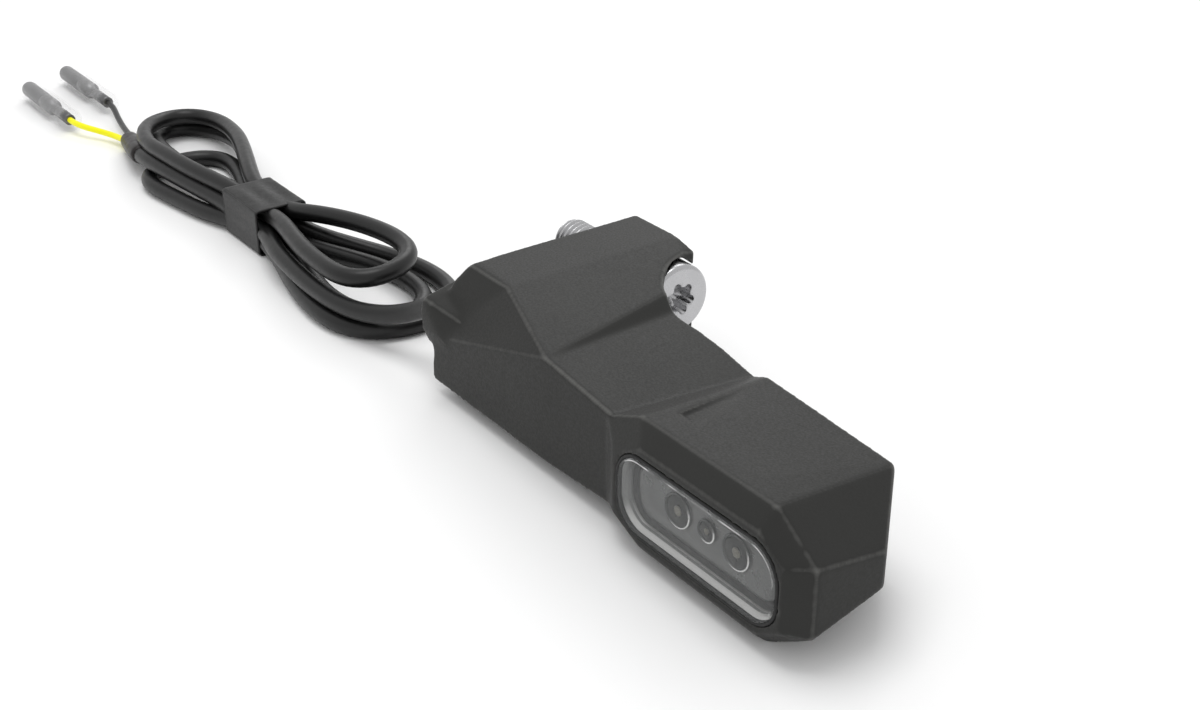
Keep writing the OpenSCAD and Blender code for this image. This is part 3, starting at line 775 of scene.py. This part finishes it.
def band_section():
    """Closed outline of the tie band as (y, z) in mm, with soft corners."""
    r = BAND_CORNER_R
    low_y, high_y, low_z, high_z = BAND_Y0 + r, BAND_Y1 - r, r, BAND_TOP - r
    corners = []
    for cy, cz, start in (
        (high_y, high_z, 0), (low_y, high_z, 90), (low_y, low_z, 180), (high_y, low_z, 270),
    ):
        for k in range(10):
            a = math.radians(start + 90 * k / 9)
            corners.append((cy + r * math.cos(a), cz + r * math.sin(a)))
    points = []
    for a, b in zip(corners, corners[1:] + corners[:1]):
        parts = max(1, int(math.dist(a, b) / 0.6))
        for k in range(parts):
            t = k / parts
            points.append((a[0] + (b[0] - a[0]) * t, a[1] + (b[1] - a[1]) * t))
    return points


def band_point(x, y, z, mid):
    """Point of the band, pulled in between the strands that it holds."""
    dy = dz = 0
    if y < BAND_Y0 + 0.2 or y > BAND_Y1 - 0.2:
        dy = 0.08 * math.cos(2 * math.pi * (z - 2.2) / 3.1) - 0.08
    if z > BAND_TOP - 0.2:
        dz = -0.1 - 0.16 * math.sin(2 * math.pi * (y + 0.4 * x / 16) / 4.2) * mid
    if z > 1:
        dz += 0.05 * noise.noise(Vector((x * 0.5, y * 0.7, z * 0.7)))
    side = -1 if y < (BAND_Y0 + BAND_Y1) / 2 else 1
    return at(x, y + side * dy * mid * 0.7, max(0.0, z + dz))


section = band_section()
band_points = []
for column in range(BAND_COLUMNS + 1):
    x = BAND_X0 + (BAND_X1 - BAND_X0) * column / BAND_COLUMNS
    mid = math.sin(math.pi * column / BAND_COLUMNS)
    band_points += [band_point(x, y, z, mid) for y, z in section]
band_faces = []
for column in range(BAND_COLUMNS):
    for k in range(len(section)):
        a, b = column * len(section) + k, column * len(section) + (k + 1) % len(section)
        band_faces.append((a, a + len(section), b + len(section), b))
band_mesh = mesh_of("tie_strap", band_points, band_faces)
band = add("tie_strap", band_mesh, "indicator", "band_black", "tie_band")
thick = band.modifiers.new("thickness", "SOLIDIFY")
thick.thickness = BAND_THICKNESS * MM
thick.offset = 1
paint(band, BAND)


# ---------------------------------------------------------------- shrink sleeve
SHRINK_POINTS, SHRINK_COUNT = 13, 28
SHRINK_WALL, SHRINK_LIP = 0.42, 0.14  # mm past the sheath, along it and at the two ends

tail = sheath_line[-SHRINK_POINTS:]
onward = (tail[-1] - tail[-2]) / np.linalg.norm(tail[-1] - tail[-2])
tail = np.vstack([tail, tail[-1] + onward * 0.5])
last = len(tail) - 1
tangents = [
    Vector(tail[min(i + 1, last)] - tail[max(i - 1, 0)]).normalized() for i in range(last + 1)]
shrink_rings = [
    (tail[i], tangents[i], SHEATH_D / 2 + (SHRINK_WALL if 0 < i < last else SHRINK_LIP))
    for i in range(last + 1)]
# its mouth turns in round the two cores
for inwards, r in ((0, 1.75), (1.2, 1.3), (1.3, 0.05)):
    shrink_rings.append((tail[-1] - np.array(tangents[-1]) * inwards, tangents[-1], r))
shrink_points = []
for centre, t, r in shrink_rings:
    u = t.cross(Vector((0, 0, 1))).normalized()
    v = u.cross(t)
    for k in range(SHRINK_COUNT):
        a = 2 * math.pi * k / SHRINK_COUNT
        spot = Vector((centre[0] * 0.9, 3 * math.cos(a), 3 * math.sin(a)))
        wrinkle = 1 + 0.02 * noise.noise(spot)
        d = u * math.cos(a) + v * math.sin(a)
        shrink_points.append(at(*(Vector(centre) + d * r * wrinkle)))
shrink_faces = grid_faces(len(shrink_rings), SHRINK_COUNT, flip=True)
shrink_faces += end_caps(len(shrink_rings), SHRINK_COUNT, flip=True)
shrink = add(
    "shrink_sleeve", mesh_of("shrink_sleeve", shrink_points, shrink_faces), "indicator",
    "shrink_black", "heat_shrink")
paint(shrink, SHRINK)


# ---------------------------------------------------------------- terminals and their sleeves
BARREL_R, BARREL_END, CRIMP_END, NOSE = 2.05, 29.2, 7.6, 1.5
SLEEVE_OUT_R, SLEEVE_IN_R, SLEEVE_L = 3.08, 2.7, 35.5


def pinch(i, x, r, a):
    """Presses the crimp in from both sides."""
    if x < 0.4 or x > CRIMP_END:
        return r
    return r * (1 - 0.16 * max(0, math.cos(2 * a)) ** 2)


def terminal(name, end, body, node):
    """Bullet terminal: ribbed crimp, neck, and barrel with a groove and a round nose."""
    profile = [(0, 0.72), (0, 1.2), (0.1, 1.4), (0.6, 1.55)]
    for k in range(1, 14):
        profile.append((
            0.6 + k * 0.5, 1.62 - 0.14 * (0.5 + 0.5 * math.cos(2 * math.pi * k / 4))))
    profile += [
        (CRIMP_END, 1.5), (8, 1.3), (8.5, 1.2), (10.4, 1.2), (10.9, 1.5), (11.4, BARREL_R),
        (17, BARREL_R), (17.2, BARREL_R - 0.16), (17.7, BARREL_R - 0.16), (17.9, BARREL_R),
        (BARREL_END, BARREL_R)]
    for a in quarter(6, 1):
        profile.append((
            BARREL_END + NOSE * math.sin(a), BARREL_R - 1.2 * (1 - math.cos(a))))
    profile.append((BARREL_END + NOSE, AXIS_R))
    piece = add(name, lathe(name, at(*end), TO_LEAD, profile, 40, pinch), body,
                "terminal_tin", node)
    paint(piece, TIN)
    return piece


def sleeve(name, end, body, node):
    """Open clear sleeve with a slightly wavy wall."""
    ro, ri, length = SLEEVE_OUT_R, SLEEVE_IN_R, SLEEVE_L
    profile = [(0.15, ri), (0.0, ri + 0.1), (0.0, ro - 0.12), (0.12, ro)]
    for k in range(1, 30):
        profile.append((k * length / 30, ro - 0.05 * (0.5 + 0.5 * math.sin(k * 0.7))))
    profile += [(length - 0.15, ro - 0.05), (length, ro - 0.15), (length, ri + 0.05),
                (length - 0.15, ri)]
    paint(add(name, ring_lathe(name, at(*end), TO_LEAD, profile), body, "sleeve_clear", node),
          SLEEVE)


YELLOW_END, BLACK_END = (-247.5, -4.3, 3.1), (-254.5, 8.4, 3.1)
bullet_y = terminal("bullet_y", YELLOW_END, "indicator", "terminal_yellow")
bullet_b = terminal("bullet_b", BLACK_END, "indicator", "terminal_black")
sleeve("cover_y", YELLOW_END, "sleeve_y", "sleeve_yellow")
sleeve("cover_b", BLACK_END, "sleeve_b", "sleeve_black")


# ---------------------------------------------------------------- floor, light
FLOOR_HALF, FLOOR_DROP = 6, 0.00005  # m

floor_corners = [(-1, -1), (1, -1), (1, 1), (-1, 1)]
floor_mesh = mesh_of(
    "floor", [(x * FLOOR_HALF, y * FLOOR_HALF, 0) for x, y in floor_corners], [(0, 1, 2, 3)])
floor = bpy.data.objects.new("floor", floor_mesh)
scene.collection.objects.link(floor)
floor.location.z = -FLOOR_DROP
floor_paint = Maker("floor_paint")
floor_paint.link(floor_paint.tones(floor_paint.noise(3, 2), grey(0.93), grey(0.95)), "Base Color")
floor_paint.set(Roughness=0.7, Specular_IOR_Level=0.2)
floor_mesh.materials.append(floor_paint.m)

world = bpy.data.worlds.new("world")
world.use_nodes = True
scene.world = world
background = world.node_tree.nodes["Background"]
background.inputs["Color"].default_value = (1, 1, 1, 1)
background.inputs["Strength"].default_value = 0.8

LIGHTS_AIM = Vector((0, 0, 0.01))


def soft_light(name, place, size, power):
    data = bpy.data.lights.new(name, "AREA")
    data.shape = "RECTANGLE"
    data.size, data.size_y = size
    data.energy = power
    light = bpy.data.objects.new(name, data)
    scene.collection.objects.link(light)
    light.location = place
    light.rotation_euler = (LIGHTS_AIM - Vector(place)).to_track_quat("-Z", "Y").to_euler()


soft_light("overhead", (-0.15, -0.05, 0.8), (0.45, 0.45), 2.3)
soft_light("behind", (-0.6, 0.5, 0.5), (0.4, 0.3), 1.0)

scene.view_settings.view_transform = "Standard"
scene.view_settings.look = "None"
